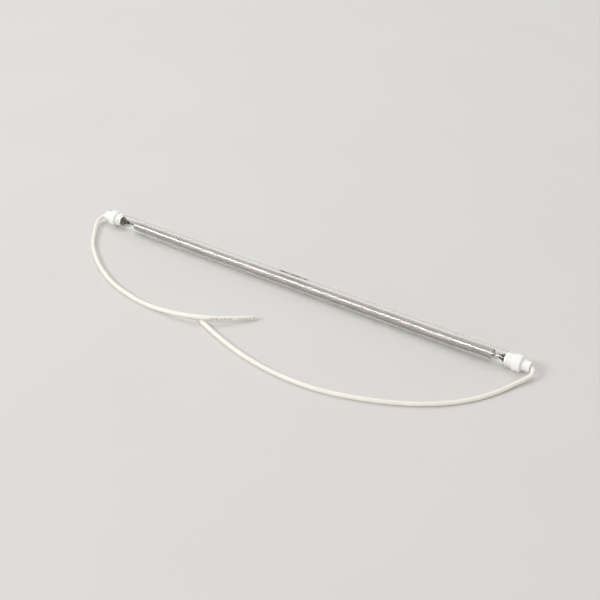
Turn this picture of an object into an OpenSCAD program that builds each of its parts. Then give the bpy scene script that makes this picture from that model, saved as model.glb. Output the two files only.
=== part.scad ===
// Quartz-tube infrared heating lamp for a food warmer.
// A resistance coil lies in a clear quartz tube. Each end is closed by a cemented ceramic cap, and a
// terminal pin runs through the cap to a crimp on the core of a flexible lead.
// +X runs along the tube, +Z is up, and the origin is under the middle of the lamp on the surface
// that its two flanges rest on.

/* [Quartz tube] */
// Length of the quartz tube
tube_len = 402; // [330:1:600]
// Outer diameter of the quartz tube
tube_d = 12.7; // [11.5:0.1:16]
// Wall thickness of the quartz tube
tube_wall = 1.2; // [0.8:0.05:1.5]

/* [Heating coil] */
// Outer diameter of the wound coil
coil_d = 8.2; // [6:0.1:8.4]
// Diameter of the resistance wire
wire_d = 0.8; // [0.5:0.05:1]
// Clear space under the coil where it lies in the tube
coil_rest_gap = 0.1; // [0.05:0.05:0.3]
// Clear length of tube between the left contact cone and the first turn
left_tail_gap = 9; // [2:0.5:15]
// Clear length of tube between the last turn and the right contact cone
right_tail_gap = 4; // [2:0.5:15]

/* [Ceramic end caps] */
// Diameter of the flange that stops against the end of the tube
flange_d = 13.6; // [13:0.1:20]
// Thickness of the flange
flange_t = 6.5; // [5:0.1:10]
// Diameter of the outer barrel
barrel_d = 8.4; // [7.6:0.1:11]
// Length of the outer barrel
barrel_len = 7; // [5:0.1:12]
// Length of the spigot inside the tube
spigot_len = 6.5; // [5:0.1:12]
// Thickness of the cement between the spigot and the tube
cement_t = 0.4; // [0.25:0.05:0.6]
// Diameter of the lead's hole in the outer end
lead_hole_d = 5.2; // [4.6:0.1:6]
// Depth of the lead's hole
lead_hole_depth = 10; // [9:0.1:11]
// Rounding of the flange's rims
rim_r = 0.8; // [0.2:0.1:1.5]

/* [Terminals] */
// Diameter of the terminal pin
pin_d = 2.4; // [1.8:0.1:2.6]
// Length of the contact cone on the pin's inner end
cone_len = 7.5; // [4:0.1:9]
// Diameter of the contact cone where it meets the ceramic
cone_d = 7.4; // [5:0.1:8]
// Diameter of the contact cone where it grips the coil's tail
cone_tip_d = 2.6; // [2:0.1:3]
// Thickness of the ring that holds the pin in the cap
ring_t = 0.5; // [0.3:0.05:0.8]
// Outer diameter of the crimp barrel
crimp_d = 3.4; // [3.2:0.05:3.6]
// Length of the crimp barrel
crimp_len = 6; // [5:0.1:6.5]
// Wall of the woven sleeve over the crimp
sleeve_wall = 0.5; // [0.3:0.05:0.6]

/* [Leads] */
// Diameter over the lead's insulation
lead_d = 3.6; // [3:0.1:3.8]
// Diameter of the stranded core
core_d = 1.9; // [1.4:0.1:2]
// Length of core stripped bare at the free end
strip_len = 5; // [3:0.5:12]

/* [Hidden] */
$fn = 64;

axis_z = flange_d / 2;
tube_bore_d = tube_d - 2 * tube_wall;
spigot_d = tube_bore_d - 2 * cement_t;
fit_gap = 0.1;
fillet_t = 0.3;

// Stations along one end, as distances outwards from the end of the tube.
cone_base = -spigot_len;
cone_tip = cone_base - cone_len;
outlet = fillet_t + flange_t + barrel_len;
hole_floor = outlet - lead_hole_depth;
crimp_start = hole_floor + ring_t;
crimp_end = crimp_start + crimp_len;
pin_depth = crimp_len / 2;
pin_end = crimp_start + pin_depth;
tail_grip = 1.5;

coil_left = -tube_len / 2 - cone_tip + left_tail_gap;
coil_right = tube_len / 2 + cone_tip - right_tail_gap;
coil_drop = (tube_bore_d - coil_d) / 2 - coil_rest_gap;
coil_wind_r = (coil_d - wire_d) / 2;

outlet_x = tube_len / 2 + outlet;
insulation_in = outlet - crimp_end - fit_gap;

// A lead's route: X and Y from its cap's outlet, then the clear height under the lead.
bore_lift = axis_z - lead_d / 2;
cross_lift = lead_d + 0.5;
left_route = [
    [insulation_in, 0, bore_lift], [2, 0, bore_lift], [-0.3, -0.5, bore_lift - 0.3],
    [-2.2, -2, bore_lift - 0.8], [-3.4, -4.1, bore_lift - 1.5], [-3.7, -6.7, bore_lift - 2.3],
    [-3.2, -9.6, 2.1], [0.5, -16.3, 1.3], [6.5, -24.4, 0.7], [15.8, -36.7, 0.2], [28.5, -49.4, 0],
    [51.4, -66.3, 0], [78.9, -80.6, 0], [106.9, -88.3, 0], [128.9, -90.8, 0.1], [148.9, -90.3, 1.3],
    [166.9, -88.1, 3], [182.9, -83.3, cross_lift], [193.4, -76.3, 3.5], [202.4, -68.1, 2.3],
    [212.1, -58.2, 0.9]];
right_route = [
    [-insulation_in, 0, bore_lift], [-1.5, 0, bore_lift], [1.1, -0.7, bore_lift - 0.2],
    [2.8, -2.4, bore_lift - 0.7], [3.5, -4.6, bore_lift - 1.4], [3.4, -7, bore_lift - 2.1],
    [1.4, -11, 1.9], [-3.3, -20.1, 0.6], [-10.1, -35.2, 0], [-21.4, -53.6, 0], [-36.6, -69.6, 0],
    [-53.1, -81.7, 0], [-73.1, -92.2, 0], [-95.1, -100.7, 0], [-119.1, -106.9, 0], [-144.1, -109.1, 0],
    [-171.1, -107.7, 0], [-198.1, -102.7, 0], [-225.1, -94.4, 0], [-250.4, -84.6, 0]];

// ---- Shared shapes ----

// Puts a shape drawn outwards along +Z from the end of the tube at the left or right end.
module at_end(side) {
    translate([side * tube_len / 2, 0, axis_z]) rotate([0, side * 90, 0]) children();
}

// A straight round bar between two stations.
module bar(d, from, to) {
    translate([0, 0, from]) cylinder(d = d, h = to - from);
}

// A straight round tube between two stations.
module pipe(d, bore, from, to) {
    difference() {
        bar(d, from, to);
        bar(bore, from - 1, to + 1);
    }
}

// A disc with both rims rounded.
module rounded_disc(d, from, to, r) {
    rotate_extrude() {
        translate([0, from]) square([d / 2 - r, to - from]);
        translate([0, from + r]) square([d / 2, to - from - 2 * r]);
        for (z = [from + r, to - r]) translate([d / 2 - r, z]) circle(r = r);
    }
}

function route_points(side, route) =
    [for (p = route) [side * outlet_x + p[0], p[1], p[2] + lead_d / 2]];

// Point at fraction t between b and c on a smooth curve through a, b, c and d.
function smooth_point(a, b, c, d, t) =
    0.5 * (2 * b + (c - a) * t + (2 * a - 5 * b + 4 * c - d) * t * t + (3 * b - a - 3 * c + d) * t * t * t);

// The route with one more point between each two.
function smooth_route(p) = let(n = len(p) - 1) concat(
    [for (i = [0 : n - 1], t = [0, 0.5])
        smooth_point(p[max(i - 1, 0)], p[i], p[i + 1], p[min(i + 2, n)], t)],
    [p[n]]);

function unit(v) = v / norm(v);
function heading(p, i) = unit(p[min(i + 1, len(p) - 1)] - p[max(i - 1, 0)]);
function ring(centre, dir, r, sides) =
    let(across = unit(cross(dir, [0, 0, 1])), up = cross(across, dir))
    [for (k = [0 : sides - 1]) let(a = 360 * k / sides) centre + r * (cos(a) * across + sin(a) * up)];

// A cord of round section swept along points.
module cord(p, d, sides = 8) {
    n = len(p);
    rings = [for (i = [0 : n - 1]) each ring(p[i], heading(p, i), d / 2, sides)];
    skin = [for (i = [0 : n - 2], k = [0 : sides - 1])
        let(a = i * sides + k, b = i * sides + (k + 1) % sides) [b, a, a + sides, b + sides]];
    ends = [[for (k = [0 : sides - 1]) k], [for (k = [sides - 1 : -1 : 0]) (n - 1) * sides + k]];
    polyhedron(rings, concat(skin, ends));
}

// ---- Lamp body ----

module quartz_tube() {
    color("lightcyan", 0.4)
        translate([-tube_len / 2, 0, axis_z]) rotate([0, 90, 0]) pipe(tube_d, tube_bore_d, 0, tube_len);
}

// Outer form of the close-wound coil, with a straight tail to the contact cone at each end.
module heating_coil() {
    color("gray") {
        translate([0, 0, axis_z - coil_drop]) rotate([0, 90, 0])
            pipe(coil_d, coil_d - 2 * wire_d, coil_left, coil_right);
        coil_tail(coil_left, -tube_len / 2 - cone_tip - tail_grip);
        coil_tail(coil_right, tube_len / 2 + cone_tip + tail_grip);
    }
}

// Wire that drops from the top of the last turn to the lamp's axis and runs into the cone.
module coil_tail(turn_x, cone_x) {
    way = cone_x > turn_x ? 1 : -1;
    start_x = turn_x - way * wire_d / 2;
    translate([start_x, 0, axis_z]) cylinder(d = wire_d, h = coil_wind_r - coil_drop);
    translate([start_x, 0, axis_z]) sphere(d = wire_d);
    translate([start_x, 0, axis_z]) rotate([0, way * 90, 0]) cylinder(d = wire_d, h = abs(cone_x - start_x));
}

// ---- End parts, each drawn outwards from the end of the tube ----

module end_cap(side) {
    color("white") at_end(side) difference() {
        union() {
            bar(spigot_d, -spigot_len, fillet_t + flange_t / 2);
            rounded_disc(flange_d, fillet_t, fillet_t + flange_t, rim_r);
            bar(barrel_d, fillet_t + flange_t / 2, outlet);
        }
        bar(pin_d + 2 * fit_gap, -spigot_len - 1, outlet);
        bar(lead_hole_d, hole_floor, outlet + 1);
    }
}

// Cement in the ring between spigot and tube, with a thin bed between flange and tube end.
module cement_seal(side) {
    color("ivory") at_end(side) {
        pipe(tube_bore_d, spigot_d, -spigot_len + 1, 0);
        pipe(tube_d - 0.4, spigot_d, 0, fillet_t);
    }
}

module contact_cone(side) {
    color("saddlebrown") at_end(side) difference() {
        translate([0, 0, cone_tip]) cylinder(d1 = cone_tip_d, d2 = cone_d, h = cone_len);
        bar(wire_d + 2 * fit_gap, cone_tip - 1, cone_base);
        bar(pin_d, cone_tip + tail_grip, cone_base + 1);
    }
}

module terminal_pin(side) {
    color("darkgray") at_end(side) bar(pin_d, cone_tip + tail_grip, pin_end);
}

// Push-on ring that holds the pin against the floor of the lead's hole.
module retaining_ring(side) {
    color("silver") at_end(side) pipe(lead_hole_d - 2 * fit_gap, pin_d, hole_floor, crimp_start);
}

module crimp(side) {
    color("silver") at_end(side) difference() {
        bar(crimp_d, crimp_start, crimp_end);
        bar(pin_d, crimp_start - 1, pin_end);
        bar(core_d, pin_end - 1, crimp_end + 1);
    }
}

module crimp_sleeve(side) {
    bore = lead_d + 2 * fit_gap;
    color("wheat") at_end(side) pipe(bore + 2 * sleeve_wall, bore, crimp_start, crimp_end);
}

// Bare end of the lead's core, held in the crimp.
module core_end(side) {
    color("goldenrod") at_end(side) bar(core_d, pin_end, crimp_end);
}

// ---- Leads ----

function lead_points(side, route) = smooth_route(route_points(side, route));

module lead(side, route) {
    color("oldlace") cord(lead_points(side, route), lead_d);
}

// Stripped and tinned core at a lead's free end.
module lead_tip(side, route) {
    p = lead_points(side, route);
    n = len(p) - 1;
    dir = heading(p, n);
    color("silver") translate(p[n])
        rotate([0, acos(dir[2]), atan2(dir[1], dir[0])]) cylinder(d = core_d, h = strip_len);
}

quartz_tube();
heating_coil();
end_cap(-1);  // left_end_cap
cement_seal(-1);  // left_cement_seal
contact_cone(-1);  // left_contact_cone
terminal_pin(-1);  // left_terminal_pin
retaining_ring(-1);  // left_retaining_ring
crimp(-1);  // left_crimp
crimp_sleeve(-1);  // left_crimp_sleeve
core_end(-1);  // left_core_end
lead(-1, left_route);  // left_lead
lead_tip(-1, left_route);  // left_lead_tip
end_cap(1);  // right_end_cap
cement_seal(1);  // right_cement_seal
contact_cone(1);  // right_contact_cone
terminal_pin(1);  // right_terminal_pin
retaining_ring(1);  // right_retaining_ring
crimp(1);  // right_crimp
crimp_sleeve(1);  // right_crimp_sleeve
core_end(1);  // right_core_end
lead(1, right_route);  // right_lead
lead_tip(1, right_route);  // right_lead_tip
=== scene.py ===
"""Looks for a quartz-tube heat lamp: a coil in clear quartz, ceramic caps and two cream leads."""

import math

import bmesh
import bpy
import numpy as np
from bpy.props import FloatProperty, FloatVectorProperty, IntProperty, PointerProperty
from mathutils import Matrix, Vector


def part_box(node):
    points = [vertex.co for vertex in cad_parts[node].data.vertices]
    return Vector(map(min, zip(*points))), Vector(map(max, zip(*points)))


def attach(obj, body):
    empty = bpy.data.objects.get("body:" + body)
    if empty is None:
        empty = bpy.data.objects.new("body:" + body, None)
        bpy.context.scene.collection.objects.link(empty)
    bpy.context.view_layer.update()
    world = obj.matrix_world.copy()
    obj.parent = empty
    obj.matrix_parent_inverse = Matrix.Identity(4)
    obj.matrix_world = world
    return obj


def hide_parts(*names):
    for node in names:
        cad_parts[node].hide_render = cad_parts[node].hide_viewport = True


bl_info = {
    "name": "Quartz heat lamp",
    "version": (1, 0, 0),
    "blender": (4, 5, 0),
    "location": "View3D > Sidebar > Heat lamp",
    "description": "Builds the coil, tube, end caps, terminals and leads of a food warmer's lamp",
    "category": "Add Mesh",
}

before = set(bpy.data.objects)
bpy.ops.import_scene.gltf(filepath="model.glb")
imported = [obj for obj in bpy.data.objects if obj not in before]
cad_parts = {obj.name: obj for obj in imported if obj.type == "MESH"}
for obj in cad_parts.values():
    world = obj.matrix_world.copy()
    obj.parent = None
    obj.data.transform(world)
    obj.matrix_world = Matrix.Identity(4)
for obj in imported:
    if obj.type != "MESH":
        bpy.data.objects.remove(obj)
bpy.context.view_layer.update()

MM = 0.001
SIDES = ("left", "right")
BODY = "root"
LEAD_R_MM = 1.8
INK_LIFT = 0.005 * MM


def box_size(node):
    low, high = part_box(node)
    return high - low


TUBE_LOW, TUBE_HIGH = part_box("quartz_tube")
AXIS_Z = (TUBE_LOW.z + TUBE_HIGH.z) / 2
TUBE_R = (TUBE_HIGH.z - TUBE_LOW.z) / 2
TUBE_END = TUBE_HIGH.x
OUTLET_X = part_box("right_end_cap")[1].x
FLANGE_R = box_size("right_end_cap").z / 2
CONE_BASE_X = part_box("right_contact_cone")[1].x
CONE_TIP_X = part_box("right_contact_cone")[0].x
CONE_R = box_size("right_contact_cone").z / 2
COIL_R = box_size("heating_coil").y / 2
COIL_DROP = AXIS_Z - (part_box("heating_coil")[0].z + COIL_R)
CRIMP_R = box_size("right_crimp").z / 2
CORE_R = box_size("right_core_end").z / 2


def linear(code):
    """An sRGB hex colour as linear red, green and blue."""
    parts = [int(code[i : i + 2], 16) / 255 for i in (0, 2, 4)]
    return tuple(c / 12.92 if c <= 0.04045 else ((c + 0.055) / 1.055) ** 2.4 for c in parts)


# ---------------------------------------------------------------- settings


def length(name, text, millimetres):
    return FloatProperty(
        name=name, description=text, default=millimetres * MM, min=0, unit="LENGTH", precision=5
    )


def colour(name, text, code):
    return FloatVectorProperty(
        name=name, description=text, default=linear(code), size=3, subtype="COLOR"
    )


class HeatLampSizes(bpy.types.PropertyGroup):
    tube_wall: length("Tube wall", "Thickness of the quartz tube's wall", 1.2)
    tube_lip: length("Tube lip", "Rounding of the tube's fire-polished ends", 0.3)
    wire: length("Coil wire", "Diameter of the resistance wire", 0.8)
    pitch: length("Coil pitch", "Distance from one turn to the next", 1.06)
    left_gap: length("Left tail", "Clear length from the left contact cone to the first turn", 9)
    right_gap: length("Right tail", "Clear length from the last turn to the right contact cone", 4)
    left_sag: length("Left sag", "Length in which the coil sinks to the wall, at the left end", 95)
    right_sag: length("Right sag", "Length in which the coil sinks to the wall, at the right end", 45)
    flange: length("Flange", "Thickness of the cap's flange", 6.5)
    bed: length("Cement bed", "Cement between the tube's end and the flange", 0.3)
    spigot: length("Spigot", "Length of the cap's spigot inside the tube", 6.5)
    cement: length("Cement", "Thickness of the cement round the spigot", 0.4)
    barrel_r: length("Barrel radius", "Radius of the cap's outer barrel", 4.2)
    hole_r: length("Lead hole radius", "Radius of the hole that the lead comes out of", 2.6)
    hole_depth: length("Lead hole depth", "Depth of the lead's hole", 10)
    pin_hole_r: length("Pin hole radius", "Radius of the terminal pin's hole", 1.3)
    pin_r: length("Pin radius", "Radius of the terminal pin", 1.2)
    lead_r: length("Lead radius", "Radius over the lead's insulation", LEAD_R_MM)
    strip: length("Stripped length", "Length of bare core at a lead's free end", 5)
    strands: IntProperty(
        name="Strands", description="Strands in the outer layer of a lead's core", default=12, min=6
    )


class HeatLampColours(bpy.types.PropertyGroup):
    ceramic: colour("Ceramic", "Pressed steatite of the end caps", "FEFEFC")
    cement: colour("Cement", "Cement round the spigots", "FCFBF6")
    wire: colour("Resistance wire", "Drawn alloy wire of the coil", "DFD9D5")
    scorched: colour("Scorched metal", "Heat-darkened metal near the coil's ends", "33221A")
    insulation: colour("Lead insulation", "Cream insulation of the leads", "FDF9F0")
    ink: colour("Ink", "Printed marks on the tube and on a lead", "1E1C1B")
    floor: colour("Floor", "Pale surface that the lamp lies on", "DDDCD9")


# ---------------------------------------------------------------- lead routes

# X and Y in millimetres from the cap's outlet, then the clear height under the lead.
BORE_LIFT = AXIS_Z / MM - LEAD_R_MM
ROUTES = {
    "left": [
        (3.4, 0, BORE_LIFT), (2, 0, BORE_LIFT), (-0.3, -0.5, BORE_LIFT - 0.3),
        (-2.2, -2, BORE_LIFT - 0.8), (-3.4, -4.1, BORE_LIFT - 1.5),
        (-3.7, -6.7, BORE_LIFT - 2.3), (-3.2, -9.6, 2.1), (0.5, -16.3, 1.3), (6.5, -24.4, 0.7),
        (15.8, -36.7, 0.2), (28.5, -49.4, 0), (51.4, -66.3, 0), (78.9, -80.6, 0), (106.9, -88.3, 0),
        (128.9, -90.8, 0.1), (148.9, -90.3, 1.3), (166.9, -88.1, 3), (182.9, -83.3, 4.1),
        (193.4, -76.3, 3.5), (202.4, -68.1, 2.3), (212.1, -58.2, 0.9),
    ],
    "right": [
        (-3.4, 0, BORE_LIFT), (-1.5, 0, BORE_LIFT), (1.1, -0.7, BORE_LIFT - 0.2),
        (2.8, -2.4, BORE_LIFT - 0.7), (3.5, -4.6, BORE_LIFT - 1.4),
        (3.4, -7, BORE_LIFT - 2.1), (1.4, -11, 1.9), (-3.3, -20.1, 0.6), (-10.1, -35.2, 0),
        (-21.4, -53.6, 0), (-36.6, -69.6, 0), (-53.1, -81.7, 0), (-73.1, -92.2, 0), (-95.1, -100.7, 0),
        (-119.1, -106.9, 0), (-144.1, -109.1, 0), (-171.1, -107.7, 0), (-198.1, -102.7, 0),
        (-225.1, -94.4, 0), (-250.4, -84.6, 0),
    ],
}


def way(side):
    return 1 if side == "right" else -1


def smooth(points, steps):
    """A smooth curve through the points, with that many steps between each two."""
    p = np.array([points[0], *points, points[-1]], float)
    out = []
    for a, b, c, d in zip(p, p[1:], p[2:], p[3:]):
        bend, twist = 2 * a - 5 * b + 4 * c - d, 3 * b - a - 3 * c + d
        for t in np.arange(steps) / steps:
            out.append(0.5 * (2 * b + (c - a) * t + bend * t**2 + twist * t**3))
    return np.array([*out, p[-1]])


def lead_path(side, steps=8):
    radius = sizes().lead_r
    start = np.array([way(side) * OUTLET_X, 0, radius])
    path = smooth([start + np.array(p) * MM for p in ROUTES[side]], steps)
    # The curve may dip under its points, and the lead lies on the floor and not in it.
    path[:, 2] = np.maximum(path[:, 2], radius)
    return path


def coil_ends():
    """X of the first and last turn of the coil."""
    s = sizes()
    return -CONE_TIP_X + s.left_gap, CONE_TIP_X - s.right_gap


def sizes():
    return bpy.context.scene.heat_lamp_sizes


def colours():
    return bpy.context.scene.heat_lamp_colours


# ---------------------------------------------------------------- node helper


def add(tree, kind, inputs=None, **settings):
    """Adds a node. inputs maps a socket's name or number to a value, or to an output to link.

    A node given in place of an output stands for its first one.
    """
    made = tree.nodes.new(kind)
    for key, value in settings.items():
        setattr(made, key, value)
    for key, value in (inputs or {}).items():
        if isinstance(value, bpy.types.Node):
            value = value.outputs[0]
        if isinstance(value, bpy.types.NodeSocket):
            tree.links.new(value, made.inputs[key])
        else:
            made.inputs[key].default_value = value
    return made


# ---------------------------------------------------------------- materials


MADE = {}


def material(name, maker, *values):
    """A material made once and then shared. Its maker gives the surface's inputs, or a shader of its own."""
    if name not in MADE:
        MADE[name] = bpy.data.materials.new(name)
        MADE[name].use_nodes = True
        tree = MADE[name].node_tree
        tree.nodes.clear()
        surface = maker(tree, *values)
        if isinstance(surface, dict):
            surface = add(tree, "ShaderNodeBsdfPrincipled", surface)
        add(tree, "ShaderNodeOutputMaterial", {"Surface": surface})
    return MADE[name]


def noise(tree, size_mm, detail=2.0, stretch=(1, 1, 1), rough=0.5):
    """Noise with features of about that size in millimetres, and longer where stretch is over 1."""
    place = add(tree, "ShaderNodeTexCoord").outputs["Object"]
    point = add(tree, "ShaderNodeMapping", {"Vector": place, "Scale": [1 / s for s in stretch]})
    values = {"Vector": point, "Scale": 1 / (size_mm * MM), "Detail": detail, "Roughness": rough}
    return add(tree, "ShaderNodeTexNoise", values).outputs["Fac"]


def toned(tree, value, stops):
    """Colours along a value, each stop a place and a colour."""
    made = add(tree, "ShaderNodeValToRGB", {"Fac": value})
    bar = made.color_ramp.elements
    while len(bar) < len(stops):
        bar.new(0.5)
    for element, (place, tone) in zip(bar, stops):
        element.position = place
        element.color = (*tone, 1)
    return made.outputs["Color"]


def shade(tone, factor):
    return tuple(min(1.0, c * factor) for c in tone)


def along_lamp(tree):
    """X in the lamp's frame."""
    place = add(tree, "ShaderNodeTexCoord").outputs["Object"]
    return add(tree, "ShaderNodeSeparateXYZ", {"Vector": place}).outputs["X"]


def fused_quartz(tree):
    """Fused quartz, drawn as tube: water clear, with faint lines along it from the drawing die."""
    lines = noise(tree, 1.5, 2.0, stretch=(200, 1, 1))
    glass = add(
        tree,
        "ShaderNodeBsdfPrincipled",
        {
            "Base Color": (*linear("FDFEFE"), 1),
            "Roughness": 0.0,
            "IOR": 1.458,
            "Transmission Weight": 1.0,
            "Normal": add(tree, "ShaderNodeBump", {"Height": lines, "Distance": 0.002 * MM, "Strength": 0.3}),
        },
    )
    # Lamps shine through clear quartz, so their shadow rays pass.
    clear = add(tree, "ShaderNodeBsdfTransparent", {"Color": (*linear("FDFDFD"), 1)})
    shadow = add(tree, "ShaderNodeLightPath").outputs["Is Shadow Ray"]
    return add(tree, "ShaderNodeMixShader", {0: shadow, 1: glass, 2: clear})


def resistance_wire(tree):
    """Iron-chromium-aluminium wire: dull grey oxide from its first heating, scorched brown at the tails."""
    tone = colours()
    cloud = noise(tree, 2.5, 3.0, stretch=(3, 1, 1))
    grey = toned(tree, cloud, [(0.3, shade(tone.wire, 0.86)), (0.7, tone.wire)])
    along = along_lamp(tree)
    left, right = coil_ends()
    fade = 1.2 * MM
    tails = [
        add(tree, "ShaderNodeMapRange", {"Value": along, **span})
        for span in (
            {"From Min": left - fade, "From Max": left, "To Min": 1, "To Max": 0},
            {"From Min": right, "From Max": right + fade},
        )
    ]
    either = add(tree, "ShaderNodeMath", {0: tails[0], 1: tails[1]}, operation="MAXIMUM")
    drawn = noise(tree, 0.15, 2.0, stretch=(1, 3, 3))
    return {
        "Base Color": add(
            tree, "ShaderNodeMix", {0: either, 6: grey, 7: (*tone.scorched, 1)}, data_type="RGBA"
        ).outputs[2],
        "Metallic": 1.0,
        "Roughness": add(
            tree, "ShaderNodeMapRange", {"Value": noise(tree, 1.2), "To Min": 0.34, "To Max": 0.5}
        ),
        "Normal": add(tree, "ShaderNodeBump", {"Height": drawn, "Distance": 0.01 * MM, "Strength": 0.4}),
    }


def steatite(tree):
    """Dry-pressed steatite, fired and unglazed: almost white, with a fine powdery grain."""
    tone = colours().ceramic
    grain = noise(tree, 0.22, 3.0, rough=0.6)
    return {
        "Base Color": toned(tree, noise(tree, 3.0, 3.0), [(0.35, shade(tone, 0.955)), (0.65, tone)]),
        "Roughness": add(tree, "ShaderNodeMapRange", {"Value": grain, "To Min": 0.42, "To Max": 0.58}),
        "IOR": 1.55,
        "Normal": add(tree, "ShaderNodeBump", {"Height": grain, "Distance": 0.025 * MM, "Strength": 0.5}),
    }


def ceramic_cement(tree):
    """Silicate cement, brushed in wet and dried: matte, off-white and gritty."""
    tone = colours().cement
    grit = noise(tree, 0.35, 4.0, rough=0.7)
    return {
        "Base Color": toned(tree, grit, [(0.3, shade(tone, 0.92)), (0.65, tone)]),
        "Roughness": 0.92,
        "Normal": add(tree, "ShaderNodeBump", {"Height": grit, "Distance": 0.08 * MM, "Strength": 0.8}),
    }


def scorched_steel(tree, tip_code):
    """Steel beside the hot coil: brown to olive oxide with pale tan patches of painted highlight, and a tip
    burnt black or left straw coloured.
    """
    spots = noise(tree, 2.2, 3.0, stretch=(0.6, 1, 1), rough=0.6)
    # Oxide tints, except the pale tan stop (A48F80), which is a painted highlight scattered in patches.
    oxide_and_painted_highlight = ((0.3, "2B2721"), (0.45, "5B5347"), (0.55, "6A4E3E"), (0.66, "A48F80"), (0.78, "4A3B34"))
    tints_and_painted_highlight = toned(tree, spots, [(place, linear(code)) for place, code in oxide_and_painted_highlight])
    distance = add(tree, "ShaderNodeMath", {0: along_lamp(tree)}, operation="ABSOLUTE")
    burnt_for, fade = 1.3 * MM, 1.1 * MM
    burnt = add(
        tree,
        "ShaderNodeMapRange",
        {
            "Value": distance,
            "From Min": CONE_TIP_X + burnt_for,
            "From Max": CONE_TIP_X + burnt_for + fade,
            "To Min": 1,
            "To Max": 0,
        },
    )
    tip = (*linear(tip_code), 1)
    fine = noise(tree, 0.2, 2.0)
    return {
        "Base Color": add(tree, "ShaderNodeMix", {0: burnt, 6: tints_and_painted_highlight, 7: tip}, data_type="RGBA").outputs[2],
        "Metallic": 1.0,
        "Roughness": add(tree, "ShaderNodeMapRange", {"Value": spots, "To Min": 0.28, "To Max": 0.5}),
        "Normal": add(tree, "ShaderNodeBump", {"Height": fine, "Distance": 0.012 * MM, "Strength": 0.5}),
    }


def plain_metal(tree, code, rough_low, rough_high, scratch_mm, metallic=1.0):
    """Bare or plated metal: fine turning marks round the lamp's axis and slightly uneven gloss."""
    marks = noise(tree, scratch_mm, 2.0, stretch=(1, 14, 14))
    tone = linear(code)
    return {
        "Base Color": toned(tree, noise(tree, 1.6, 2.0), [(0.3, shade(tone, 0.85)), (0.7, tone)]),
        "Metallic": metallic,
        "Roughness": add(
            tree, "ShaderNodeMapRange", {"Value": marks, "To Min": rough_low, "To Max": rough_high}
        ),
        "Normal": add(tree, "ShaderNodeBump", {"Height": marks, "Distance": 0.01 * MM, "Strength": 0.4}),
    }


def tinned_copper():
    return material("tinned copper", plain_metal, "FAF9F5", 0.34, 0.5, 0.3, 0.3)


def braid(tree, around, per_metre):
    """Height of a two-way braid on a piece whose UV runs round it, then along it in metres."""
    uv = add(tree, "ShaderNodeUVMap", uv_map="UVMap")
    split = add(tree, "ShaderNodeSeparateXYZ", {"Vector": uv}).outputs
    turn = add(tree, "ShaderNodeMath", {0: split["X"], 1: math.tau * around}, operation="MULTIPLY")
    run = add(tree, "ShaderNodeMath", {0: split["Y"], 1: math.tau * per_metre}, operation="MULTIPLY")
    waves = []
    for operation in ("ADD", "SUBTRACT"):
        slant = add(tree, "ShaderNodeMath", {0: turn, 1: run}, operation=operation)
        waves.append(add(tree, "ShaderNodeMath", {0: slant}, operation="SINE"))
    crossed = add(tree, "ShaderNodeMath", {0: waves[0], 1: waves[1]}, operation="MAXIMUM")
    return add(tree, "ShaderNodeMapRange", {"Value": crossed, "From Min": -1}).outputs[0]


def lead_insulation(tree):
    """Glass braid soaked in silicone varnish: cream and satin, with the braid just showing through in its
    bumps and a faint painted shade in its hollows.
    """
    tone = colours().insulation
    weave = braid(tree, 12, 420)
    cloud = noise(tree, 14, 3.0)
    base = toned(tree, cloud, [(0.3, shade(tone, 0.94)), (0.7, tone)])
    # Painted shade: the colour darkens a little where the braid's height is low, in its hollows.
    painted_valley_shade = toned(tree, weave, [(0.0, linear("F6F4F0")), (0.5, linear("FFFFFF"))])
    return {
        "Base Color": add(
            tree, "ShaderNodeMix", {0: 0.6, 6: base, 7: painted_valley_shade}, data_type="RGBA", blend_type="MULTIPLY"
        ).outputs[2],
        "Roughness": add(tree, "ShaderNodeMapRange", {"Value": cloud, "To Min": 0.44, "To Max": 0.56}),
        "IOR": 1.45,
        "Normal": add(tree, "ShaderNodeBump", {"Height": weave, "Distance": 0.04 * MM, "Strength": 0.5}),
    }


def glass_sleeving(tree):
    """Heat-cleaned glass fibre sleeving: dry, slightly yellow and coarsely woven, with painted shade in the
    weave's hollows.
    """
    weave = braid(tree, 8, 700)
    tone = linear("E4DBC4")
    return {
        # Painted shade: the colour falls to 0.6 of the yarn's tone where the weave's height is low.
        "Base Color": toned(tree, weave, [(0.1, shade(tone, 0.6)), (0.6, tone)]),
        "Roughness": 0.85,
        "Normal": add(tree, "ShaderNodeBump", {"Height": weave, "Distance": 0.12 * MM, "Strength": 0.8}),
    }


def printing_ink(tree):
    """Fired or stamped ink: nearly black, with thin spots where it took badly."""
    tone = colours().ink
    worn = noise(tree, 0.25, 3.0)
    return {"Base Color": toned(tree, worn, [(0.3, shade(tone, 3.0)), (0.6, tone)]), "Roughness": 0.6}


def table_top(tree):
    """Painted board under the lamp: pale grey, matte, and a little uneven in tone."""
    tone = colours().floor
    fine = noise(tree, 0.8, 2.0)
    return {
        "Base Color": toned(tree, noise(tree, 160, 3.0), [(0.35, shade(tone, 0.985)), (0.65, tone)]),
        "Roughness": 0.62,
        "Specular IOR Level": 0.3,
        "Normal": add(tree, "ShaderNodeBump", {"Height": fine, "Distance": 0.02 * MM, "Strength": 0.2}),
    }


# ---------------------------------------------------------------- mesh helpers


def new_piece(name, mesh, material, slot, *nodes, sharp=35):
    """Makes an object of a mesh, rides it on the lamp's body and lets it stand for CAD nodes."""
    piece = bpy.data.objects.new(name, mesh)
    bpy.context.scene.collection.objects.link(piece)
    mesh.materials.clear()
    mesh.materials.append(material)
    mesh.shade_smooth()
    mesh.set_sharp_from_angle(angle=math.radians(sharp))
    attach(piece, BODY)
    if nodes:
        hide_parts(*nodes)
    return piece


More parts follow.
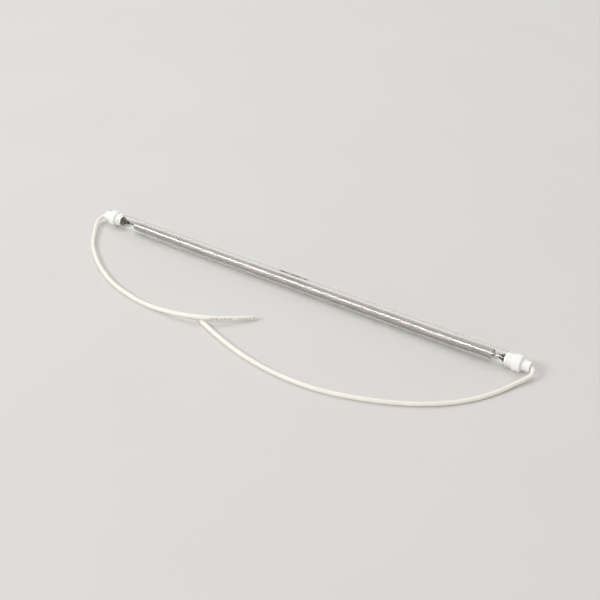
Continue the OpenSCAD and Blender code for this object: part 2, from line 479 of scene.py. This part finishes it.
def closed_mesh(name, work):
    """The mesh of a finished bmesh, with its faces turned outwards."""
    bmesh.ops.recalc_face_normals(work, faces=work.faces)
    mesh = bpy.data.meshes.new(name)
    work.to_mesh(mesh)
    work.free()
    return mesh


def outward(mesh):
    """Merges doubles and turns every face outwards."""
    work = bmesh.new()
    work.from_mesh(mesh)
    bmesh.ops.remove_doubles(work, verts=work.verts, dist=1e-7)
    bmesh.ops.recalc_face_normals(work, faces=work.faces)
    work.to_mesh(mesh)
    work.free()
    return mesh


def rounded(corners, steps=5):
    """A closed outline of (station, radius, rounding) corners, with each rounded corner as an arc."""
    most = 0.49  # of an edge, so that the arcs at its two ends never meet
    out = []
    count = len(corners)
    for i, (x, y, r) in enumerate(corners):
        here = Vector((x, y))
        before = Vector(corners[i - 1][:2]) - here
        after = Vector(corners[(i + 1) % count][:2]) - here
        if r <= 0:
            out.append(here)
            continue
        half = before.angle(after) / 2
        cut = min(r / math.tan(half), before.length * most, after.length * most)
        r = cut * math.tan(half)
        centre = here + (before.normalized() + after.normalized()).normalized() * (r / math.sin(half))
        start = here + before.normalized() * cut - centre
        end = here + after.normalized() * cut - centre
        turn = start.angle_signed(end)
        for k in range(steps + 1):
            a = -turn * k / steps
            out.append(centre + Matrix.Rotation(a, 2) @ start)
    return out


def held(outline, reach=0.25 * MM):
    """The outline with a point close to both ends of each long edge, so that its shading holds."""
    out = []
    for a, b in zip(outline, [*outline[1:], outline[0]]):
        out.append(a)
        if (b - a).length > 3 * reach:
            step = (b - a).normalized() * reach
            out += [a + step, b - step]
    return out


def lathe(name, outline, side, segments, shape=None):
    """Turns a closed outline about the lamp's axis. Stations run outwards from the tube's end.

    shape(station, radius, angle) may give another station and radius at each angle.
    """
    rings = []
    for station, radius in held(outline):
        ring = []
        for k in range(segments):
            a = math.tau * k / segments
            s, r = shape(station, radius, a) if shape else (station, radius)
            ring.append((way(side) * (TUBE_END + s), r * math.cos(a), AXIS_Z + r * math.sin(a)))
        rings.append(ring)
    count = len(rings)
    faces = []
    for i in range(count):
        j = (i + 1) % count
        for k in range(segments):
            m = (k + 1) % segments
            faces.append((i * segments + k, i * segments + m, j * segments + m, j * segments + k))
    mesh = bpy.data.meshes.new(name)
    mesh.from_pydata([v for ring in rings for v in ring], [], faces)
    mesh.validate()
    return outward(mesh)


def frames_along(path):
    """Tangent, side and up at each point of a path, turned as little as possible from one to the next."""
    tangents = np.gradient(path, axis=0)
    tangents /= np.linalg.norm(tangents, axis=1)[:, None]
    across = np.cross(tangents[0], (0, 0, 1))
    out = []
    for t in tangents:
        across = across - t * (across @ t)
        across /= np.linalg.norm(across)
        out.append((t, across, np.cross(across, t)))
    return out


def lengths_along(path):
    return np.concatenate([[0], np.cumsum(np.linalg.norm(np.diff(path, axis=0), axis=1))])


def tube_along(name, path, radius, end_round, segments=20):
    """A closed rod along a path, its ends rounded, with UV round it and, in metres, along it."""
    run = lengths_along(path)
    total = run[-1]
    work = bmesh.new()
    layer = work.loops.layers.uv.new("UVMap")
    rings = []
    for (t, across, up), point, s in zip(frames_along(path), path, run):
        depth = max(0.0, end_round - min(s, total - s))
        r = radius - end_round + math.sqrt(end_round**2 - depth**2)
        rings.append(
            [
                work.verts.new(point + r * (math.cos(a) * across + math.sin(a) * up))
                for a in (math.tau * k / segments for k in range(segments))
            ]
        )
    for i in range(len(rings) - 1):
        for k in range(segments):
            m = (k + 1) % segments
            face = work.faces.new((rings[i][k], rings[i][m], rings[i + 1][m], rings[i + 1][k]))
            corners = ((k, i), (k + 1, i), (k + 1, i + 1), (k, i + 1))
            for loop, (u, v) in zip(face.loops, corners):
                loop[layer].uv = (u / segments, run[v])
    for ring, s in ((rings[0], 0), (rings[-1], total)):
        face = work.faces.new(ring)
        for loop in face.loops:
            loop[layer].uv = (0, s)
    return closed_mesh(name, work)


def patches(name, marks, place, thick, steps=4):
    """Thin closed pads for ink. marks are (u, v, width, height); place(u, v, rise) gives a point."""
    work = bmesh.new()
    for u0, v0, width, height in marks:
        columns = []
        for i in range(steps + 1):
            for j in range(2):
                u, v = u0 + width * i / steps, v0 + height * j
                columns.append([work.verts.new(place(u, v, rise)) for rise in (0.0, thick)])
        for i in range(steps):
            a, b, c, d = (columns[2 * i + k] for k in range(4))
            work.faces.new((a[1], b[1], d[1], c[1]))
            work.faces.new((a[0], c[0], d[0], b[0]))
            work.faces.new((a[0], a[1], c[1], c[0]))
            work.faces.new((b[0], d[0], d[1], b[1]))
        a, b = columns[0], columns[1]
        work.faces.new((a[0], b[0], b[1], a[1]))
        a, b = columns[-2], columns[-1]
        work.faces.new((a[0], a[1], b[1], b[0]))
    return closed_mesh(name, work)


def dash_row(start, end, row, height, step, shortest, seed):
    """Plain dashes of uneven length in a row, with gaps between them."""
    marks, u, k = [], start, seed
    while u < end:
        width = shortest * (1 + (k * 7 % 5) * 0.45)
        if k % 6 != 5:
            marks.append((u, row, min(width, end - u), height))
        u += width + step
        k += 1
    return marks


# ---------------------------------------------------------------- geometry nodes


def new_tree(name, inputs):
    """A geometry node tree with named inputs, each (name, socket kind, default)."""
    tree = bpy.data.node_groups.new(name, "GeometryNodeTree")
    tree.is_modifier = True
    tree.interface.new_socket(name="Geometry", in_out="INPUT", socket_type="NodeSocketGeometry")
    for label, kind, default in inputs:
        socket = tree.interface.new_socket(name=label, in_out="INPUT", socket_type=kind)
        if default is not None:
            socket.default_value = default
    tree.interface.new_socket(name="Geometry", in_out="OUTPUT", socket_type="NodeSocketGeometry")
    return tree, add(tree, "NodeGroupInput"), add(tree, "NodeGroupOutput")


def grown_mesh(name, tree, base, values):
    """The mesh that a tree makes on a base object, with the base and its modifier gone."""
    host = bpy.data.objects.new(name + " host", base)
    bpy.context.scene.collection.objects.link(host)
    made = host.modifiers.new("grow", "NODES")
    made.node_group = tree
    for item in tree.interface.items_tree:
        if item.in_out == "INPUT" and item.name in values:
            made[item.identifier] = values[item.name]
    bpy.context.view_layer.update()
    shown = host.evaluated_get(bpy.context.evaluated_depsgraph_get())
    mesh = bpy.data.meshes.new_from_object(shown)
    bpy.data.objects.remove(host)
    mesh.name = name
    return mesh


def winding_tree():
    """A close-wound coil from the right end to the left one, joined to the tails on the base curve."""
    tree, source, result = new_tree(
        "coil winding",
        [
            ("Turns", "NodeSocketFloat", 300.0),
            ("Points per turn", "NodeSocketInt", 20),
            ("Radius", "NodeSocketFloat", 3.7 * MM),
            ("Wire radius", "NodeSocketFloat", 0.4 * MM),
            ("Left end", "NodeSocketFloat", -0.18),
            ("Right end", "NodeSocketFloat", 0.18),
            ("Axis height", "NodeSocketFloat", AXIS_Z),
            ("Drop", "NodeSocketFloat", 1.0 * MM),
            ("Left sag", "NodeSocketFloat", 60 * MM),
            ("Right sag", "NodeSocketFloat", 25 * MM),
            ("Material", "NodeSocketMaterial", None),
        ],
    )
    get = source.outputs
    span = add(tree, "ShaderNodeMath", {0: get["Right end"], 1: get["Left end"]}, operation="SUBTRACT")
    spiral = add(
        tree,
        "GeometryNodeCurveSpiral",
        {
            "Resolution": get["Points per turn"],
            "Rotations": get["Turns"],
            "Start Radius": get["Radius"],
            "End Radius": get["Radius"],
            "Height": span,
        },
    )
    start = add(tree, "ShaderNodeCombineXYZ", {"X": get["Right end"], "Z": get["Axis height"]})
    laid = add(
        tree,
        "GeometryNodeTransform",
        {"Geometry": spiral, "Translation": start, "Rotation": (0, -math.pi / 2, 0)},
    )
    place = add(tree, "GeometryNodeInputPosition")
    x = add(tree, "ShaderNodeSeparateXYZ", {"Vector": place}).outputs["X"]
    from_left = add(tree, "ShaderNodeMath", {0: x, 1: get["Left end"]}, operation="SUBTRACT")
    from_right = add(tree, "ShaderNodeMath", {0: get["Right end"], 1: x}, operation="SUBTRACT")
    eased = [
        add(
            tree,
            "ShaderNodeMapRange",
            {"Value": distance, "From Max": get[label]},
            interpolation_type="SMOOTHSTEP",
        ).outputs["Result"]
        for distance, label in ((from_left, "Left sag"), (from_right, "Right sag"))
    ]
    both = add(tree, "ShaderNodeMath", {0: eased[0], 1: eased[1]}, operation="MULTIPLY")
    fall = add(tree, "ShaderNodeMath", {0: both, 1: get["Drop"]}, operation="MULTIPLY")
    down = add(tree, "ShaderNodeMath", {0: fall, 1: -1.0}, operation="MULTIPLY")
    shift = add(tree, "ShaderNodeCombineXYZ", {"Z": down})
    sagged = add(tree, "GeometryNodeSetPosition", {"Geometry": laid, "Offset": shift})
    joined = add(tree, "GeometryNodeJoinGeometry")
    tree.links.new(get["Geometry"], joined.inputs[0])
    tree.links.new(sagged.outputs[0], joined.inputs[0])
    section = add(tree, "GeometryNodeCurvePrimitiveCircle", {"Resolution": 8, "Radius": get["Wire radius"]})
    wire = {"Curve": joined, "Profile Curve": section, "Fill Caps": True}
    swept = add(tree, "GeometryNodeCurveToMesh", wire)
    real = add(tree, "GeometryNodeRealizeInstances", {"Geometry": swept})
    painted = add(tree, "GeometryNodeSetMaterial", {"Geometry": real, "Material": get["Material"]})
    tree.links.new(painted.outputs[0], result.inputs[0])
    return tree


def strand_tree():
    """A layer of strands twisted round a straight core along +Z."""
    tree, source, result = new_tree(
        "twisted strands",
        [
            ("Count", "NodeSocketInt", 12),
            ("Length", "NodeSocketFloat", 5 * MM),
            ("Layer radius", "NodeSocketFloat", 0.7 * MM),
            ("Strand radius", "NodeSocketFloat", 0.19 * MM),
            ("Twist", "NodeSocketFloat", 1.6),
            ("Material", "NodeSocketMaterial", None),
        ],
    )
    get = source.outputs
    end = add(tree, "ShaderNodeCombineXYZ", {"Z": get["Length"]})
    line = add(tree, "GeometryNodeCurvePrimitiveLine", {"End": end})
    fine = add(tree, "GeometryNodeResampleCurve", {"Curve": line, "Count": 14})
    copies = add(
        tree, "GeometryNodeDuplicateElements", {"Geometry": fine, "Amount": get["Count"]}, domain="SPLINE"
    )
    place = add(tree, "GeometryNodeInputPosition")
    height = add(tree, "ShaderNodeSeparateXYZ", {"Vector": place}).outputs["Z"]
    share = add(tree, "ShaderNodeMath", {0: height, 1: get["Length"]}, operation="DIVIDE")
    wound = add(tree, "ShaderNodeMath", {0: share, 1: get["Twist"]}, operation="MULTIPLY")
    step = add(tree, "ShaderNodeMath", {0: math.tau, 1: get["Count"]}, operation="DIVIDE")
    turned = add(
        tree, "ShaderNodeMath", {0: copies.outputs["Duplicate Index"], 1: step}, operation="MULTIPLY"
    )
    angle = add(tree, "ShaderNodeMath", {0: wound, 1: turned}, operation="ADD")
    parts = []
    for operation in ("COSINE", "SINE"):
        wave = add(tree, "ShaderNodeMath", {0: angle}, operation=operation)
        parts.append(add(tree, "ShaderNodeMath", {0: wave, 1: get["Layer radius"]}, operation="MULTIPLY"))
    shift = add(tree, "ShaderNodeCombineXYZ", {"X": parts[0], "Y": parts[1]})
    laid = add(tree, "GeometryNodeSetPosition", {"Geometry": copies, "Offset": shift})
    section = add(tree, "GeometryNodeCurvePrimitiveCircle", {"Resolution": 8, "Radius": get["Strand radius"]})
    strand = {"Curve": laid, "Profile Curve": section, "Fill Caps": True}
    swept = add(tree, "GeometryNodeCurveToMesh", strand)
    real = add(tree, "GeometryNodeRealizeInstances", {"Geometry": swept})
    painted = add(tree, "GeometryNodeSetMaterial", {"Geometry": real, "Material": get["Material"]})
    tree.links.new(painted.outputs[0], result.inputs[0])
    return tree


def strand_bundle(name, start, direction, run):
    """A stranded core: an outer twisted layer, an inner one and a straight middle strand."""
    tree = bpy.data.node_groups.get("twisted strands") or strand_tree()
    count = sizes().strands
    strand = CORE_R / (1 + 1 / math.sin(math.pi / count))
    layers = ((count, CORE_R - strand, 1.7), (count // 2, 2.05 * strand, 1.1), (1, 0.0, 0.0))
    work = bmesh.new()
    for amount, radius, twist in layers:
        values = {
            "Count": amount,
            "Length": float(run),
            "Layer radius": float(radius),
            "Strand radius": float(strand),
            "Twist": twist,
            "Material": tinned_copper(),
        }
        work.from_mesh(grown_mesh("strand layer", tree, bpy.data.meshes.new("seed"), values))
    turn = Vector(direction).to_track_quat("Z", "Y").to_matrix().to_4x4()
    bmesh.ops.transform(work, matrix=Matrix.Translation(start) @ turn, verts=work.verts)
    return closed_mesh(name, work)


# ---------------------------------------------------------------- operators


class HEATLAMP_OT_stage(bpy.types.Operator):
    """Sets the camera, the pale floor and the soft lights"""

    bl_idname = "heatlamp.stage"
    bl_label = "Stage"

    def execute(self, context):
        scene = context.scene
        azimuth, elevation, distance = math.radians(34.0), math.radians(33.0), 0.9128
        target = Vector((0.01186, -0.0114, 0.0))
        level = math.cos(elevation)
        back = Vector((math.sin(azimuth) * level, -math.cos(azimuth) * level, math.sin(elevation)))
        eye = bpy.data.cameras.new("camera")
        eye.lens = 65.2
        eye.sensor_width = 36
        eye.clip_start = 0.01
        camera = bpy.data.objects.new("camera", eye)
        camera.location = target + distance * back
        camera.rotation_euler = (-back).to_track_quat("-Z", "Y").to_euler()
        scene.collection.objects.link(camera)
        scene.camera = camera

        half = 20.0
        mesh = bpy.data.meshes.new("floor")
        corners = [(-half, -half, 0), (half, -half, 0), (half, half, 0), (-half, half, 0)]
        mesh.from_pydata(corners, [], [(0, 1, 2, 3)])
        mesh.materials.append(material("painted board", table_top))
        floor = bpy.data.objects.new("floor", mesh)
        scene.collection.objects.link(floor)

        self.softbox(scene, "front strip", place=(-1.46, -2.2, 1.72), size=(1.7, 0.54), power=41.0)
        self.softbox(scene, "back softbox", place=(-0.9, 1.3, 2.4), size=(3.0, 2.0), power=20.0)
        world = bpy.data.worlds.new("studio")
        world.use_nodes = True
        sky = world.node_tree.nodes["Background"].inputs
        sky["Color"].default_value = (*linear("E7E6E5"), 1)
        sky["Strength"].default_value = 0.785
        scene.world = world
        scene.view_settings.view_transform = "Standard"
        return {"FINISHED"}

    def softbox(self, scene, name, place, size, power):
        """A soft light that faces the lamp's axis, with its width along it."""
        lamp = bpy.data.lights.new(name, "AREA")
        lamp.shape = "RECTANGLE"
        lamp.size, lamp.size_y = size
        lamp.energy = power
        made = bpy.data.objects.new(name, lamp)
        made.location = place
        made.rotation_euler = Vector((0, -place[1], -place[2])).to_track_quat("-Z", "Y").to_euler()
        scene.collection.objects.link(made)


class HEATLAMP_OT_leads(bpy.types.Operator):
    """Builds both leads, their stripped ends and the ink marks on the left one"""

    bl_idname = "heatlamp.leads"
    bl_label = "Leads"

    def execute(self, context):
        s = sizes()
        for side in SIDES:
            path = lead_path(side)
            skin = tube_along(f"{side}_lead_insulation", path, s.lead_r, 0.25 * MM)
            varnished = material("varnished glass braid", lead_insulation)
            lead = new_piece(skin.name, skin, varnished, "lead_insulation", f"{side}_lead")
            end = path[-1] - path[-2]
            end /= np.linalg.norm(end)
            # The core starts a little inside the insulation.
            hidden = 0.2 * MM
            core = strand_bundle(f"{side}_tinned_end", path[-1] - end * hidden, end, s.strip + hidden)
            tip = new_piece(core.name, core, tinned_copper(), "tinned_copper", f"{side}_lead_tip")
        self.marks(lead_path("left"), s.lead_r)
        return {"FINISHED"}

    def marks(self, path, radius):
        """Plain dashes near the free end, on the side of the lead that faces up."""
        run = lengths_along(path)
        frames = frames_along(path)

        def place(u, v, rise):
            i = min(int(np.searchsorted(run, u)), len(path) - 1)
            j = max(i - 1, 0)
            t = 0 if i == j else (u - run[j]) / (run[i] - run[j])
            point = path[j] * (1 - t) + path[i] * t
            _, across, up = frames[j]
            angle = math.radians(20) + v / radius
            out = math.cos(angle) * across + math.sin(angle) * up
            return point + out * (radius + rise + INK_LIFT)

        rows = []
        for start, end, seed in ((35, 18, 2), (12, 1.5, 0)):
            start, end = run[-1] - start * MM, run[-1] - end * MM
            rows += dash_row(start, end, 0.0, 1.1 * MM, 0.8 * MM, 0.7 * MM, seed)
        mesh = patches("left_lead_marks", rows, place, 0.03 * MM)
        new_piece(mesh.name, mesh, material("printing ink", printing_ink), "lead_insulation", sharp=50)


class HEATLAMP_OT_tube(bpy.types.Operator):
    """Builds the quartz tube and its ink marks"""

    bl_idname = "heatlamp.tube"
    bl_label = "Quartz tube"

    def execute(self, context):
        s = sizes()
        bore, lip, span = TUBE_R - s.tube_wall, s.tube_lip, 2 * TUBE_END
        outline = rounded([(0, bore, lip), (0, TUBE_R, lip), (-span, TUBE_R, lip), (-span, bore, lip)], 6)
        mesh = lathe("quartz_tube_glass", outline, "right", segments=128)
        new_piece(mesh.name, mesh, material("fused quartz", fused_quartz), "quartz", "quartz_tube", sharp=60)

        def place(u, v, rise):
            angle = math.radians(59) + v / TUBE_R
            r = TUBE_R + rise + INK_LIFT
            return (u, r * math.cos(angle), AXIS_Z + r * math.sin(angle))

        # Three groups in each of two rows, as (start, end, height, shortest dash) in millimetres.
        groups = ((-17, -8.5, 1.3, 1.2), (-6, 3.5, 1.3, 1.2), (5.5, 10.5, 1.1, 0.9))
        rows = []
        for row, seed in ((0.0, 1), (1.6 * MM, 3)):
            for k, group in enumerate(groups):
                start, end, height, shortest = (value * MM for value in group)
                rows += dash_row(start, end, row, height, 0.7 * MM, shortest, seed + k)
        marks = patches("quartz_tube_marks", rows, place, 0.02 * MM)
        new_piece(marks.name, marks, material("printing ink", printing_ink), "quartz", sharp=50)
        return {"FINISHED"}


class HEATLAMP_OT_coil(bpy.types.Operator):
    """Winds the heating coil and leads its tails into the contact cones"""

    bl_idname = "heatlamp.coil"
    bl_label = "Heating coil"

    def execute(self, context):
        s = sizes()
        radius = COIL_R - s.wire / 2
        left, right = coil_ends()
        turns = round((right - left) / s.pitch)
        tails = bpy.data.curves.new("coil tails", "CURVE")
        tails.dimensions = "3D"
        for side, end in (("left", left), ("right", right)):
            points = self.tail(side, end, radius)
            spline = tails.splines.new("POLY")
            spline.points.add(len(points) - 1)
            for point, place in zip(spline.points, points):
                point.co = (*place, 1)
        wire = material("oxidised resistance wire", resistance_wire)
        mesh = grown_mesh(
            "heating_coil_wire",
            winding_tree(),
            tails,
            {
                "Turns": float(turns),
                "Points per turn": 20,
                "Radius": radius,
                "Wire radius": s.wire / 2,
                "Left end": left,
                "Right end": right,
                "Axis height": AXIS_Z,
                "Drop": COIL_DROP,
                "Left sag": s.left_sag,
                "Right sag": s.right_sag,
                "Material": wire,
            },
        )
        new_piece("heating_coil_wire", mesh, wire, "resistance_wire", "heating_coil", sharp=60)
        return {"FINISHED"}

    def tail(self, side, end, radius):
        """From the top of the end turn, winding inwards to the axis and then straight into the cone."""
        out, step_off, run, into_cone = way(side), 0.2 * MM, 1.4 * MM, 1.5 * MM
        points = []
        for t in np.linspace(0, 1, 22):
            angle = math.pi / 2 - out * 1.5 * math.pi * t
            r = radius * (1 - t) ** 0.7
            x = end + out * (step_off + run * t)
            points.append((x, r * math.cos(angle), AXIS_Z + r * math.sin(angle)))
        points.append((out * (CONE_TIP_X + into_cone), 0, AXIS_Z))
        return points


class HEATLAMP_OT_caps(bpy.types.Operator):
    """Builds the ceramic end caps and their cement"""

    bl_idname = "heatlamp.caps"
    bl_label = "End caps"

    def execute(self, context):
        s = sizes()
        bore = TUBE_R - s.tube_wall
        spigot_r = bore - s.cement
        outlet = OUTLET_X - TUBE_END
        floor_at = outlet - s.hole_depth
        flange_out = s.bed + s.flange
        outline = rounded(
            [
                (-s.spigot, s.pin_hole_r, 0.1 * MM),
                (-s.spigot, spigot_r, 0.35 * MM),
                (s.bed, spigot_r, 0.15 * MM),
                (s.bed, FLANGE_R, 0.4 * MM),
                (flange_out, FLANGE_R, 0.8 * MM),
                (flange_out, s.barrel_r, 0.3 * MM),
                (outlet, s.barrel_r, 0.45 * MM),
                (outlet, s.hole_r, 0.35 * MM),
                (floor_at, s.hole_r, 0.2 * MM),
                (floor_at, s.pin_hole_r, 0.1 * MM),
            ]
        )
        play = 0.02 * MM
        seal_end = -s.spigot + 1 * MM
        # The cement wets the glass, so it reaches a hair into the wall and no air gap mirrors it.
        bite = 0.03 * MM
        seal = [
            (seal_end, spigot_r + play, 0.1 * MM),
            (seal_end, bore + bite, 0.1 * MM),
            (-bite, bore + bite, 0),
            (-bite, TUBE_R - bite, 0.1 * MM),
            (s.bed, TUBE_R - bite, 0.1 * MM),
            (s.bed, spigot_r + play, 0),
        ]
        for side in SIDES:
            cap = lathe(f"{side}_ceramic_cap", outline, side, segments=96)
            white = material("unglazed steatite", steatite)
            new_piece(cap.name, cap, white, "ceramic", f"{side}_end_cap", sharp=40)

            def ragged(station, radius, angle, phase=1.3 if side == "left" else 0.2):
                """The cement's inner edge, uneven where it was squeezed out."""
                if station > seal_end + 1 * MM:
                    return station, radius
                waves = ((3, phase, 1), (7, 0, 0.6), (11, 2, 0.4))
                wave = sum(size * math.sin(count * angle + start) for count, start, size in waves)
                return station + 0.3 * MM * wave, radius

            ring = lathe(f"{side}_cement", rounded(seal, 3), side, segments=96, shape=ragged)
            gritty = material("silicate cement", ceramic_cement)
            new_piece(ring.name, ring, gritty, "cement", f"{side}_cement_seal")
        return {"FINISHED"}


class HEATLAMP_OT_terminals(bpy.types.Operator):
    """Builds the contact cones, crimps, sleeves and core ends, and paints the pins and rings"""

    bl_idname = "heatlamp.terminals"
    bl_label = "Terminals"

    def execute(self, context):
        s = sizes()
        tip, base = CONE_TIP_X - TUBE_END, CONE_BASE_X - TUBE_END
        tip_r = 1.3 * MM
        cone = rounded(
            [
                (tip, 0.55 * MM, 0.05 * MM),
                (tip, tip_r, 0.2 * MM),
                (tip + 2.2 * MM, tip_r * 1.08, 0.4 * MM),
                (base - 1.0 * MM, CONE_R * 0.93, 0.3 * MM),
                (base - 0.7 * MM, CONE_R, 0.2 * MM),
                (base, CONE_R, 0.2 * MM),
                (base, s.pin_r + 0.02 * MM, 0.1 * MM),
            ],
            4,
        )

        def dent(station, middle, width):
            return math.exp(-(((station - middle) / width) ** 2))

        def crimped(station, radius, angle):
            """Four dents where the cone's tip is pressed onto the wire."""
            if radius < 0.9 * tip_r:
                return station, radius
            near = dent(station, tip + 1.1 * MM, 0.55 * MM)
            return station, radius * (1 - 0.16 * near * math.cos(2 * angle) ** 4)

        low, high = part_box("right_crimp")
        first, last = low.x - TUBE_END, high.x - TUBE_END
        barrel = rounded(
            [
                (first, s.pin_r, 0.05 * MM),
                (first, CRIMP_R, 0.2 * MM),
                (last, CRIMP_R, 0.2 * MM),
                (last, s.pin_r, 0.05 * MM),
            ],
            3,
        )

        def pressed(station, radius, angle):
            """Two dents on top, where a tool closed the barrel on the pin and on the core."""
            if radius < 0.9 * CRIMP_R:
                return station, radius
            near = sum(dent(station, first + place, 0.6 * MM) for place in (1.6 * MM, 4.4 * MM))
            return station, radius * (1 - 0.17 * near * max(0.0, math.sin(angle)) ** 6)

        # Extra rings along the cone and the barrel carry the dents.
        cone, barrel = self.split(cone, 0.5 * MM), self.split(barrel, 0.4 * MM)
        low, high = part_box("right_crimp_sleeve")
        sleeve_r, wall = (high.z - low.z) / 2, 0.5 * MM
        stations = np.linspace(low.x, high.x, 9)
        for side, tip_code in zip(SIDES, ("1C1416", "C4B199")):
            steel = material(f"heat-tinted steel, {side}", scorched_steel, tip_code)
            mesh = lathe(f"{side}_cone", cone, side, segments=64, shape=crimped)
            new_piece(mesh.name, mesh, steel, "oxidised_steel", f"{side}_contact_cone", sharp=45)

            nickel = material("nickel plate", plain_metal, "C9C3B6", 0.18, 0.34, 0.25)
            mesh = lathe(f"{side}_crimp_barrel", barrel, side, segments=48, shape=pressed)
            new_piece(mesh.name, mesh, nickel, "nickel_plate", f"{side}_crimp", sharp=45)

            fibre = material("woven glass sleeving", glass_sleeving)
            mesh = self.woven(f"{side}_woven_sleeve", way(side) * stations, sleeve_r, sleeve_r - wall)
            new_piece(mesh.name, mesh, fibre, "glass_sleeving", f"{side}_crimp_sleeve")

            low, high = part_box(f"{side}_core_end")
            mesh = strand_bundle(
                f"{side}_stranded_core", (low.x, 0, AXIS_Z), (1, 0, 0), high.x - low.x
            )
            new_piece(mesh.name, mesh, tinned_copper(), "tinned_copper", f"{side}_core_end")

            pin = material("terminal steel", plain_metal, "A7A49E", 0.25, 0.42, 0.2)
            self.paint(f"{side}_terminal_pin", pin)
            ring = material("spring steel", plain_metal, "8F8F90", 0.3, 0.48, 0.15)
            self.paint(f"{side}_retaining_ring", ring)
        return {"FINISHED"}

    def split(self, outline, step):
        """The outline with long edges cut into steps."""
        out = []
        for a, b in zip(outline, [*outline[1:], outline[0]]):
            count = max(1, math.ceil((b - a).length / step))
            out += [a + (b - a) * k / count for k in range(count)]
        return out

    def woven(self, name, stations, outer, inner, segments=40):
        """An open sleeve with a wall, and UV round it and, in metres, along it."""
        work = bmesh.new()
        layer = work.loops.layers.uv.new("UVMap")
        angles = [math.tau * k / segments for k in range(segments)]
        rings = [
            [work.verts.new((x, r * math.cos(a), AXIS_Z + r * math.sin(a))) for a in angles]
            for row, r in ((stations, outer), (stations[::-1], inner))
            for x in row
        ]
        for ring, after in zip(rings, [*rings[1:], rings[0]]):
            for k in range(segments):
                m = (k + 1) % segments
                face = work.faces.new((ring[k], ring[m], after[m], after[k]))
                corners = ((k, ring), (k + 1, ring), (k + 1, after), (k, after))
                for loop, (turn, place) in zip(face.loops, corners):
                    loop[layer].uv = (turn / segments, place[0].co.x)
        return closed_mesh(name, work)

    def paint(self, node, made):
        """Gives a CAD node that stays a material of its own."""
        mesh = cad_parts[node].data
        if not mesh.materials:
            mesh.materials.append(made)
        for i in range(len(mesh.materials)):
            mesh.materials[i] = made


class HEATLAMP_PT_panel(bpy.types.Panel):
    """Lists the lamp's pieces and its settings"""

    bl_label = "Heat lamp"
    bl_idname = "HEATLAMP_PT_panel"
    bl_space_type = "VIEW_3D"
    bl_region_type = "UI"
    bl_category = "Heat lamp"

    def draw(self, context):
        for operator in OPERATORS:
            self.layout.operator(operator.bl_idname)
        for group in (context.scene.heat_lamp_sizes, context.scene.heat_lamp_colours):
            column = self.layout.column()
            for key in group.bl_rna.properties.keys():
                if key not in ("rna_type", "name"):
                    column.prop(group, key)


OPERATORS = (
    HEATLAMP_OT_stage,
    HEATLAMP_OT_leads,
    HEATLAMP_OT_tube,
    HEATLAMP_OT_coil,
    HEATLAMP_OT_caps,
    HEATLAMP_OT_terminals,
)
CLASSES = (HeatLampSizes, HeatLampColours, *OPERATORS, HEATLAMP_PT_panel)


def register():
    for made in CLASSES:
        bpy.utils.register_class(made)
    bpy.types.Scene.heat_lamp_sizes = PointerProperty(type=HeatLampSizes)
    bpy.types.Scene.heat_lamp_colours = PointerProperty(type=HeatLampColours)


def unregister():
    del bpy.types.Scene.heat_lamp_colours
    del bpy.types.Scene.heat_lamp_sizes
    for made in reversed(CLASSES):
        bpy.utils.unregister_class(made)


def main():
    register()
    for operator in OPERATORS:
        group, name = operator.bl_idname.split(".")
        getattr(getattr(bpy.ops, group), name)()


if __name__ == "__main__":
    main()
